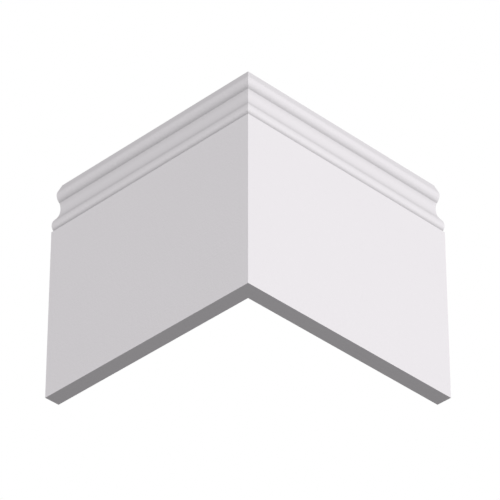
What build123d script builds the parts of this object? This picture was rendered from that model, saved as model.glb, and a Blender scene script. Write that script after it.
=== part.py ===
from build123d import *
import os
from math import cos, radians, sin, tan

# An outside corner of moulded skirting board, made from two short lengths of one board,
# each cut at 45 degrees and glued along the mitre. Millimetres, +Z up.
# The origin is the foot of the wall's corner. The right board runs along +X with its back on y = 0,
# and the left board runs along +Y with its back on x = 0.

# The board as it is sold, and the length of wall that each arm covers
height = 220.0
thickness = 15.0
wall_run = 219.4
mitre_angle = 45.0

# The lip that ends the plain lower face, and the groove above and behind it
lip_height = 165.65
quirk_depth = 3.6

# The lower bead: a wide radius above its nose and a tight one below
lower_nose_out = 14.95
lower_nose_height = 172.2
shoulder_radius = 11.0
underside_radius = 5.2

# The slope that rises from the lower bead, leaning back from upright, and the hollow that it leads into
slope_angle = 38.0
hollow_radius = 20.0
hollow_out = 5.7

# The upper bead, from the crease where it meets the hollow to the chamfer along the top
upper_nose_out = 10.6
upper_nose_height = 206.4
upper_radius = 8.0
crease_angle = 55.5
chamfer_angle = 27.5


def on_circle(centre, radius, angle):
    """The point of a circle at an angle in degrees, counted up from straight out of the wall."""
    turn = radians(angle)
    return centre[0] + radius * cos(turn), centre[1] + radius * sin(turn)


def board_section():
    """The board's cross-section: x is the distance out from the wall, y the height above the floor."""
    # The lower bead turns in from its nose until it meets the back of the groove.
    lower_nose = lower_nose_out, lower_nose_height
    underside_centre_out = lower_nose_out - underside_radius
    quirk_out = thickness - quirk_depth
    quirk_drop = (underside_radius**2 - (quirk_out - underside_centre_out) ** 2) ** 0.5
    quirk_head = quirk_out, lower_nose_height - quirk_drop

    # The slope is the tangent that the shoulder and the hollow share.
    slope_foot = on_circle((lower_nose_out - shoulder_radius, lower_nose_height), shoulder_radius, slope_angle)
    slope_head_out = hollow_out + hollow_radius * (1 - cos(radians(slope_angle)))
    slope_head = slope_head_out, slope_foot[1] + (slope_foot[0] - slope_head_out) / tan(radians(slope_angle))
    hollow_centre = hollow_out + hollow_radius, slope_head[1] + hollow_radius * sin(radians(slope_angle))

    # The chamfer leaves the upper bead along its tangent and ends at the flat top.
    upper_centre = upper_nose_out - upper_radius, upper_nose_height
    crease = on_circle(upper_centre, upper_radius, -crease_angle)
    chamfer_foot = on_circle(upper_centre, upper_radius, chamfer_angle)
    top_arris = chamfer_foot[0] - (height - chamfer_foot[1]) * tan(radians(chamfer_angle)), height

    with BuildSketch() as section:
        with BuildLine():
            Polyline((0, 0), (thickness, 0), (thickness, lip_height), (quirk_out, lip_height), quirk_head)
            RadiusArc(quirk_head, lower_nose, -underside_radius)
            RadiusArc(lower_nose, slope_foot, -shoulder_radius)
            Line(slope_foot, slope_head)
            hollow = CenterArc(hollow_centre, hollow_radius, 180 + slope_angle, -slope_angle)
            TangentArc(hollow @ 1, crease, tangent=hollow % 1)
            RadiusArc(crease, chamfer_foot, -upper_radius)
            Polyline(chamfer_foot, top_arris, (0, height), (0, 0))
        make_face()
    return section.sketch


def mitred_board():
    """One length of board along +X, with its end sawn along the line between the two runs of wall."""
    square_cut = extrude(Plane.YZ.offset(-thickness) * mirror(board_section(), Plane.YZ), wall_run + thickness)
    saw = Plane(origin=(0, 0, 0), x_dir=(0, 0, 1), z_dir=(sin(radians(mitre_angle)), -cos(radians(mitre_angle)), 0))
    return split(square_cut, bisect_by=saw, keep=Keep.TOP)


right_board = mitred_board()
left_board = mirror(right_board, Plane(origin=(0, 0, 0), z_dir=(1, -1, 0)))

os.makedirs("parts", exist_ok=True)
for name, board in {"right_board": right_board, "left_board": left_board}.items():
    board.label = name
    export_step(board, f"parts/{name}.step")
    box = board.bounding_box()
    print(name, "volume", round(board.volume), "mm3, box", box.min, box.max)
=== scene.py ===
from math import asin, atan2, cos, pi, radians, sin, tan

import bpy
import numpy as np
from mathutils import Matrix, Vector


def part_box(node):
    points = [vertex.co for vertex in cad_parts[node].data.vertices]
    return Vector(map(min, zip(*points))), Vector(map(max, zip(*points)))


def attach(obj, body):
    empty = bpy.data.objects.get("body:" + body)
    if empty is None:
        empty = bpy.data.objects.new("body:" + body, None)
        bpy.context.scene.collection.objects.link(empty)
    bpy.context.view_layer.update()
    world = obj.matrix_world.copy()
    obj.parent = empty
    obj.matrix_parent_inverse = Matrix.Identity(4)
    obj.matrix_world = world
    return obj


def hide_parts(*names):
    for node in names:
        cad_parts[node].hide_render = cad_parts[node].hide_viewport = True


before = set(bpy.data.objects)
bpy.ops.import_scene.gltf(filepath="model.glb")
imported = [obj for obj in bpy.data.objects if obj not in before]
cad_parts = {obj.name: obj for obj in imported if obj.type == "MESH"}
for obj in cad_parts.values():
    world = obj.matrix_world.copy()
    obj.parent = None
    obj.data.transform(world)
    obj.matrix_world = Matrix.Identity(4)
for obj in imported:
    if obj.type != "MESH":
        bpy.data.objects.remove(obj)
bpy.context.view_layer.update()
mm = 0.001

# The boards: white high-density polymer skirting, extruded to one moulded section and primed white. It has
# a sloping top edge, a bead, a hollow that sweeps out into a second bead, a groove and a plain face. Two
# lengths are sawn at 45 degrees and glued along the mitre, so the left board is the right one's mirror image.
board_low, board_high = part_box("right_board")
board_height = board_high.z
board_thickness = -board_low.y
board_end = board_high.x

lip_height = 165.65 * mm
quirk_depth = 3.6 * mm
lower_nose = np.array([14.95, 172.2]) * mm
shoulder_radius = 11.0 * mm
underside_radius = 5.2 * mm
slope_angle = radians(38.0)
hollow_radius = 20.0 * mm
hollow_out = 5.7 * mm
upper_nose = np.array([10.6, 206.4]) * mm
upper_radius = 8.0 * mm
crease_angle = radians(55.5)
chamfer_angle = radians(27.5)
arris = 0.08 * mm
facet = radians(2.0)
tolerance = 0.001 * mm


def ray(angle):
    """The unit vector (cos a, sin a), or one for each angle of an array."""
    return np.stack([np.cos(angle), np.sin(angle)], axis=-1)


def arc(centre, radius, start, end, hollow=False):
    """Points centre + radius * ray(a) for even angles a, and normals ray(a), turned round in a hollow."""
    rays = ray(np.linspace(start, end, int(abs(end - start) / facet) + 2))
    return centre + radius * rays, -rays if hollow else rays


def soft_corner(before, corner, after):
    """The rounding of a corner: an arc of radius arris, its centre inside and arris away from both lines."""
    back = (before - corner) / np.linalg.norm(before - corner)
    onward = (after - corner) / np.linalg.norm(after - corner)
    half = 0.5 * np.arccos(back @ onward)
    centre = corner + (back + onward) / np.linalg.norm(back + onward) * arris / np.sin(half)
    first = corner + back * arris / np.tan(half) - centre
    last = corner + onward * arris / np.tan(half) - centre
    start = atan2(first[1], first[0])
    return arc(centre, arris, start, start + atan2(first[0] * last[1] - first[1] * last[0], first @ last))


def crisp_corner(corner):
    """A single point, where two straight faces meet in a sharp inner corner."""
    return corner[None, :], np.zeros((1, 2))


def moulded_section():
    """The board's section, (out from the wall, up), as a closed chain of arcs that runs up the face and down
    the back. The chamfer and the slope are the straight tangents of the arcs that they join."""
    foot_back, foot_front = np.array([0.0, 0.0]), np.array([board_thickness, 0.0])
    lip = np.array([board_thickness, lip_height])
    quirk_foot = np.array([board_thickness - quirk_depth, lip_height])
    underside_centre = lower_nose - [underside_radius, 0.0]
    quirk_turn = np.arccos((quirk_foot[0] - underside_centre[0]) / underside_radius)

    shoulder_centre = lower_nose - [shoulder_radius, 0.0]
    slope_foot = shoulder_centre + shoulder_radius * ray(slope_angle)
    slope_head_out = hollow_out + hollow_radius * (1 - cos(slope_angle))
    slope_head_up = slope_foot[1] + (slope_foot[0] - slope_head_out) / tan(slope_angle)
    hollow_centre = np.array([hollow_out + hollow_radius, slope_head_up + hollow_radius * sin(slope_angle)])

    upper_centre = upper_nose - [upper_radius, 0.0]
    crease = upper_centre + upper_radius * ray(-crease_angle)
    neck_out, neck_rise = crease - [hollow_out, hollow_centre[1]]
    neck_radius = (neck_rise**2 + neck_out**2) / (2 * neck_out)
    neck_centre = np.array([hollow_out + neck_radius, hollow_centre[1]])

    chamfer_foot = upper_centre + upper_radius * ray(chamfer_angle)
    top_out = chamfer_foot[0] - (board_height - chamfer_foot[1]) * tan(chamfer_angle)
    top_arris = np.array([top_out, board_height])
    top_back = np.array([0.0, board_height])
    return [
        soft_corner(top_back, foot_back, foot_front),
        soft_corner(foot_back, foot_front, lip),
        soft_corner(foot_front, lip, quirk_foot),
        crisp_corner(quirk_foot),
        arc(underside_centre, underside_radius, -quirk_turn, 0.0),
        arc(shoulder_centre, shoulder_radius, 0.0, slope_angle),
        arc(hollow_centre, hollow_radius, pi + slope_angle, pi, hollow=True),
        arc(neck_centre, neck_radius, pi, pi - asin(neck_rise / neck_radius), hollow=True),
        arc(upper_centre, upper_radius, -crease_angle, chamfer_angle),
        soft_corner(chamfer_foot, top_arris, top_back),
        soft_corner(top_arris, top_back, foot_back),
    ]


def section_strips(runs):
    """The chain's points, and the strips between neighbours: start and end point, start and end normal.
    A strip inside a run keeps the run's normals. One that joins two runs is flat, with the normal
    (rise, -tread) of its own line, and where the runs already meet it has no length and is left out."""
    place = np.concatenate([run[0] for run in runs])
    normal = np.concatenate([run[1] for run in runs])
    run_number = np.repeat(np.arange(len(runs)), [len(run[0]) for run in runs])
    step = np.roll(place, -1, axis=0) - place
    length = np.linalg.norm(step, axis=1)
    real = length > tolerance
    flat = np.stack([step[:, 1], -step[:, 0]], axis=1) / np.maximum(length, tolerance)[:, None]
    joins = (run_number != np.roll(run_number, -1))[:, None]
    start_normal = np.where(joins, flat, normal)
    end_normal = np.where(joins, flat, np.roll(normal, -1, axis=0))
    kept = np.roll(real, 1)
    index = np.cumsum(kept) - 1
    return place[kept], index[real], np.roll(index, -1)[real], start_normal[real], end_normal[real]


def carried_board(name, mirrored, materials):
    """The section carried along the wall, from the mitre, where a point that is d out starts at -d, to the
    square end. The right board runs along X with 'out' along -Y; the left board has X and Y exchanged.
    Its UV map is (along, round the section) in metres on the sides and (out, up) on the two sawn ends."""
    points, start, end, start_normal, end_normal = section_strips(moulded_section())
    count = len(points)
    out, up = points[:, 0], points[:, 1]
    along = np.stack([-out, np.full(count, board_end)])
    vertices = np.stack([along, np.broadcast_to(-out, along.shape), np.broadcast_to(up, along.shape)], axis=2)
    sides = np.stack([start, start + count, end + count, end], axis=1)
    mitre_end = np.arange(count)
    square_end = np.arange(count, 2 * count)[::-1]

    corner_normals = np.stack([start_normal, start_normal, end_normal, end_normal], axis=1)
    normal_out, normal_up = corner_normals[:, :, 0], corner_normals[:, :, 1]
    side_normals = np.stack([0 * normal_out, -normal_out, normal_up], axis=2)
    mitre_normals = np.tile([-sin(pi / 4), sin(pi / 4), 0.0], (count, 1))
    square_normals = np.tile([1.0, 0.0, 0.0], (count, 1))

    girth = np.concatenate([[0.0], np.cumsum(np.linalg.norm(points[end] - points[start], axis=1))])
    round_section = np.stack([girth[:-1], girth[:-1], girth[1:], girth[1:]], axis=1)
    side_uv = np.stack([along.reshape(-1)[sides], round_section], axis=2)

    vertices = vertices.reshape(-1, 3)
    normals = [side_normals.reshape(-1, 3), mitre_normals, square_normals]
    uv = [side_uv.reshape(-1, 2), points, points[::-1]]
    faces = sides.tolist() + [mitre_end.tolist(), square_end.tolist()]
    if mirrored:
        vertices = vertices[:, [1, 0, 2]]
        faces = [face[::-1] for face in faces]
        normals = [side_normals[:, ::-1].reshape(-1, 3), mitre_normals, square_normals]
        normals = [part[:, [1, 0, 2]] for part in normals]
        uv = [side_uv[:, ::-1].reshape(-1, 2), points[::-1], points]

    mesh = bpy.data.meshes.new(name)
    mesh.from_pydata(vertices.tolist(), [], faces)
    mesh.polygons.foreach_set("use_smooth", np.ones(len(faces), bool))
    mesh.uv_layers.new(name="board").data.foreach_set("uv", np.concatenate(uv).ravel())
    looks_back = np.all(np.isclose(start_normal, [-1.0, 0.0], atol=0.001), axis=1)
    against_wall = looks_back & (points[start, 0] < tolerance)
    primed, bare, sawn = range(len(materials))
    finish = np.concatenate([np.where(against_wall, bare, primed), [sawn, sawn]])
    mesh.polygons.foreach_set("material_index", finish)
    for material in materials:
        mesh.materials.append(material)
    mesh.update()
    mesh.normals_split_custom_set(np.concatenate(normals).tolist())
    board = bpy.data.objects.new(name, mesh)
    bpy.context.scene.collection.objects.link(board)
    return board


class Wire:
    """One socket of a node tree. Its operators add the Math nodes that work an expression out."""

    def __init__(self, tree, socket=None):
        self.tree = tree
        self.socket = socket

    def node(self, kind, settings, sockets, output=0):
        """Adds a node: first its settings, then its sockets by name or number, each a value or a Wire."""
        made = self.tree.nodes.new(kind)
        for key, value in settings.items():
            setattr(made, key, value)
        for key, value in sockets.items():
            if isinstance(value, Wire):
                self.tree.links.new(value.socket, made.inputs[key])
            else:
                made.inputs[key].default_value = value
        return Wire(self.tree, made.outputs[output])

    def maths(self, operation, *values):
        """One Math node on these values."""
        return self.node("ShaderNodeMath", {"operation": operation}, dict(enumerate(values)))

    def __add__(self, other):
        return self.maths("ADD", self, other)

    def __radd__(self, other):
        return self.maths("ADD", other, self)

    def __sub__(self, other):
        return self.maths("SUBTRACT", self, other)

    def __rsub__(self, other):
        return self.maths("SUBTRACT", other, self)

    def __mul__(self, other):
        return self.maths("MULTIPLY", self, other)

    def __rmul__(self, other):
        return self.maths("MULTIPLY", other, self)

    def noise(self, place, size, detail=2.0):
        """Soft blotches about 'size' metres across, from 0 to 1 and mostly near a half."""
        return self.node("ShaderNodeTexNoise", {}, {"Vector": place, "Scale": 0.5 / size, "Detail": detail})

    def between(self, amount, first, second):
        """The colour that lies 'amount' of the way from the first to the second."""
        ends = {"Factor": amount, 6: first, 7: second}
        return self.node("ShaderNodeMix", {"data_type": "RGBA"}, ends, output=2)

    def stretched(self, place, scale):
        """Coordinates multiplied by three factors, so that a pattern on them is drawn out."""
        return self.node("ShaderNodeVectorMath", {"operation": "MULTIPLY"}, {0: place, 1: scale})

    def bump(self, height):
        """The normal of a surface raised by 'height' metres."""
        relief = {"Strength": 1.0, "Distance": 1.0, "Height": height}
        return self.node("ShaderNodeBump", {}, relief, output="Normal")


def matt_material(name):
    """A material with no gloss, its shader, a Wire to start from, Object coordinates and the UV map."""
    material = bpy.data.materials.new(name)
    material.use_nodes = True
    shader = material.node_tree.nodes["Principled BSDF"]
    shader.inputs["Specular IOR Level"].default_value = 0.0
    start = Wire(material.node_tree)
    place = start.node("ShaderNodeTexCoord", {}, {}, output="Object")
    unrolled = start.node("ShaderNodeTexCoord", {}, {}, output="UV")
    return material, shader, start, place, unrolled


def feed(shader, **wires):
    """Links wires to the shader's sockets."""
    for name, wire in wires.items():
        wire.tree.links.new(wire.socket, shader.inputs[name.replace("_", " ")])


def primed_white():
    """Sprayed white primer on the moulded skin: clouds of slightly thinner cover, an orange peel of under a
    millimetre, and faint draw lines that the die left along the board."""
    material, shader, start, place, unrolled = matt_material("primed_white")
    thin_cover, full_cover = (0.840, 0.813, 0.840, 1.0), (0.860, 0.833, 0.860, 1.0)
    peel_relief, draw_relief = 0.08 * mm, 0.05 * mm
    along_board = (0.004, 1.0, 1.0)
    cloud = start.noise(place, 45 * mm, 3.0)
    peel = start.noise(place, 0.9 * mm)
    draw = start.noise(start.stretched(unrolled, along_board), 0.7 * mm, 3.0)
    colour = start.between(cloud * 0.7 + peel * 0.3, thin_cover, full_cover)
    feed(shader, Base_Color=colour, Roughness=cloud * 0.2 + 0.6)
    feed(shader, Normal=start.bump(peel * peel_relief + draw * draw_relief))
    return material


def bare_back():
    """The back as it leaves the die: bare polymer, a little greyer, with deeper draw lines along it."""
    material, shader, start, place, unrolled = matt_material("bare_back")
    dull, bright = (0.72, 0.71, 0.71, 1.0), (0.86, 0.84, 0.84, 1.0)
    draw_relief = 0.10 * mm
    along_board = (0.006, 1.0, 1.0)
    draw = start.noise(start.stretched(unrolled, along_board), 1.6 * mm, 4.0)
    cloud = start.noise(place, 30 * mm, 3.0)
    colour = start.between(cloud * 0.4 + draw * 0.6, dull, bright)
    feed(shader, Base_Color=colour, Roughness=draw * 0.15 + 0.7)
    feed(shader, Normal=start.bump(draw * draw_relief))
    return material


def sawn_end():
    """The sawn section: dense fine-celled foam with open pores and the faint arcs that the saw blade left.
    The arcs are a sine of the distance from the blade's axle, and a pore is the middle of a Voronoi cell."""
    material, shader, start, place, unrolled = matt_material("sawn_end")
    foam, pore_shade_and_arc_tone = (0.83, 0.815, 0.80, 1.0), (0.64, 0.62, 0.60, 1.0)
    blade_radius, tooth_step, tooth_relief = 125 * mm, 1.6 * mm, 0.10 * mm
    cell_size, pore_depth = 0.45 * mm, 0.05 * mm
    axle = (-blade_radius, 0.5 * board_height, 0.0)
    ends = {0: unrolled, 1: axle}
    reach = start.node("ShaderNodeVectorMath", {"operation": "DISTANCE"}, ends, output="Value")
    wander = start.noise(place, 6 * mm) * (0.8 * mm)
    tooth = start.maths("SINE", (reach + wander) * (2 * pi / tooth_step)) * 0.5 + 0.5
    grid = {"Vector": place, "Scale": 1 / cell_size}
    from_middle = start.node("ShaderNodeTexVoronoi", {}, grid, output="Distance")
    falling = {"Value": from_middle, "From Min": 0.12, "From Max": 0.38, "To Min": 1.0, "To Max": 0.0}
    pore = start.node("ShaderNodeMapRange", {}, falling)
    # The pores are painted darker, as painted shade in their pits, and the saw arcs take a faint darker tone
    # along them.
    colour = start.between(pore * 0.6 + tooth * 0.12, foam, pore_shade_and_arc_tone)
    feed(shader, Base_Color=colour, Roughness=pore * 0.1 + 0.8)
    feed(shader, Normal=start.bump(tooth * tooth_relief - pore * pore_depth))
    return material


finishes = [primed_white(), bare_back(), sawn_end()]
for name, mirrored in (("right_board", False), ("left_board", True)):
    board = carried_board(name + "_moulded", mirrored, finishes)
    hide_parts(name)
    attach(board, "root")

# The floor: a pale sheet that the boards stand on. It is see-through from below, where the photo looks up
# from, and takes no light away from the undersides, but seen from above it holds the boards' shadow.
floor_drop = 0.3 * mm
floor_reach = 6.0
floor_mesh = bpy.data.meshes.new("floor")
floor_mesh.from_pydata(
    [(x * floor_reach, y * floor_reach, -floor_drop) for x, y in ((-1, -1), (1, -1), (1, 1), (-1, 1))],
    [],
    [(0, 1, 2, 3)],
)
floor = bpy.data.objects.new("floor", floor_mesh)
bpy.context.scene.collection.objects.link(floor)
floor.visible_shadow = False
floor.visible_diffuse = False
floor.visible_glossy = False
floor.visible_transmission = False
pale, pale_shader, start, place, unrolled = matt_material("pale_floor")
pale_shader.inputs["Roughness"].default_value = 1.0
pale_shader.inputs["Emission Strength"].default_value = 0.35
darker, lighter = (0.56, 0.56, 0.56, 1.0), (0.58, 0.58, 0.58, 1.0)
feed(pale_shader, Base_Color=start.between(start.noise(place, 300 * mm), darker, lighter))
from_below = start.node("ShaderNodeNewGeometry", {}, {}, output="Backfacing")
clear = start.node("ShaderNodeBsdfTransparent", {}, {})
sheet = Wire(start.tree, pale_shader.outputs["BSDF"])
one_sided = start.node("ShaderNodeMixShader", {}, {0: from_below, 1: sheet, 2: clear})
start.tree.links.new(one_sided.socket, start.tree.nodes["Material Output"].inputs["Surface"])
floor_mesh.materials.append(pale)

# The light: the key is a soft box level with the boards and to the right of the camera, so the right face is
# the lighter. A weaker, broader one straight below lights the undersides and leaves the hollow in the lower
# bead's shade. One high up behind the corner lights the backs, the tops and the floor. No light bounces on.
# Each has the direction towards it, its strength, and its spread in degrees.
soft_boxes = {
    "key": ((-0.563, -0.826, -0.015), 3.61, 30),
    "below": ((0.0, 0.0, -1.0), 0.54, 44),
    "back": ((0.62, 0.48, 0.62), 4.4, 25),
}
for name, (towards, strength, spread) in soft_boxes.items():
    lamp = bpy.data.lights.new(name, "SUN")
    lamp.energy = strength
    lamp.angle = radians(spread)
    lamp.cycles.max_bounces = 0
    sun = bpy.data.objects.new(name, lamp)
    sun.rotation_euler = Vector(towards).to_track_quat("Z", "Y").to_euler()
    bpy.context.scene.collection.objects.link(sun)

# The studio: white wherever the camera looks past the boards, and only a faint even glow on the boards.
glow = 0.035
studio = bpy.data.worlds.new("studio")
studio.use_nodes = True
studio.cycles.max_bounces = 0
bpy.context.scene.world = studio
start = Wire(studio.node_tree)
seen = start.node("ShaderNodeLightPath", {}, {}, output="Is Camera Ray")
for kind in ("Is Glossy Ray", "Is Transmission Ray"):
    seen = start.maths("MAXIMUM", seen, start.node("ShaderNodeLightPath", {}, {}, output=kind))
background = studio.node_tree.nodes["Background"]
background.inputs["Color"].default_value = (1.0, 1.0, 1.0, 1.0)
feed(background, Strength=seen * (1 - glow) + glow)

# The camera: far off on the line of the mitre, looking up 35 degrees, so the undersides show below the faces.
# Its height, and a shift of 2 pixels, put the outer foot of the corner where it is in the 500-pixel photo.
picture = 500
focal_pixels = 3687.3
look_up = radians(35.038)
camera_distance = 2875.5 * mm
foot_pixel = (248.07, 282.78)
forward = Vector((cos(look_up) * sin(pi / 4), cos(look_up) * cos(pi / 4), sin(look_up)))
right = Vector((cos(pi / 4), -sin(pi / 4), 0.0))
upward = right.cross(forward)
outer_foot = Vector((-board_thickness, -board_thickness, 0.0))
foot_drop = (foot_pixel[1] - picture / 2) * camera_distance / focal_pixels
lens = bpy.data.cameras.new("camera")
lens.sensor_width = 36.0
lens.lens = focal_pixels / picture * lens.sensor_width
lens.shift_x = 0.5 - foot_pixel[0] / picture
lens.clip_end = 50.0
camera = bpy.data.objects.new("camera", lens)
camera.matrix_world = Matrix((right, upward, -forward)).transposed().to_4x4()
camera.location = outer_foot - forward * camera_distance + upward * foot_drop
bpy.context.scene.collection.objects.link(camera)
bpy.context.scene.camera = camera
bpy.context.scene.view_settings.view_transform = "Standard"
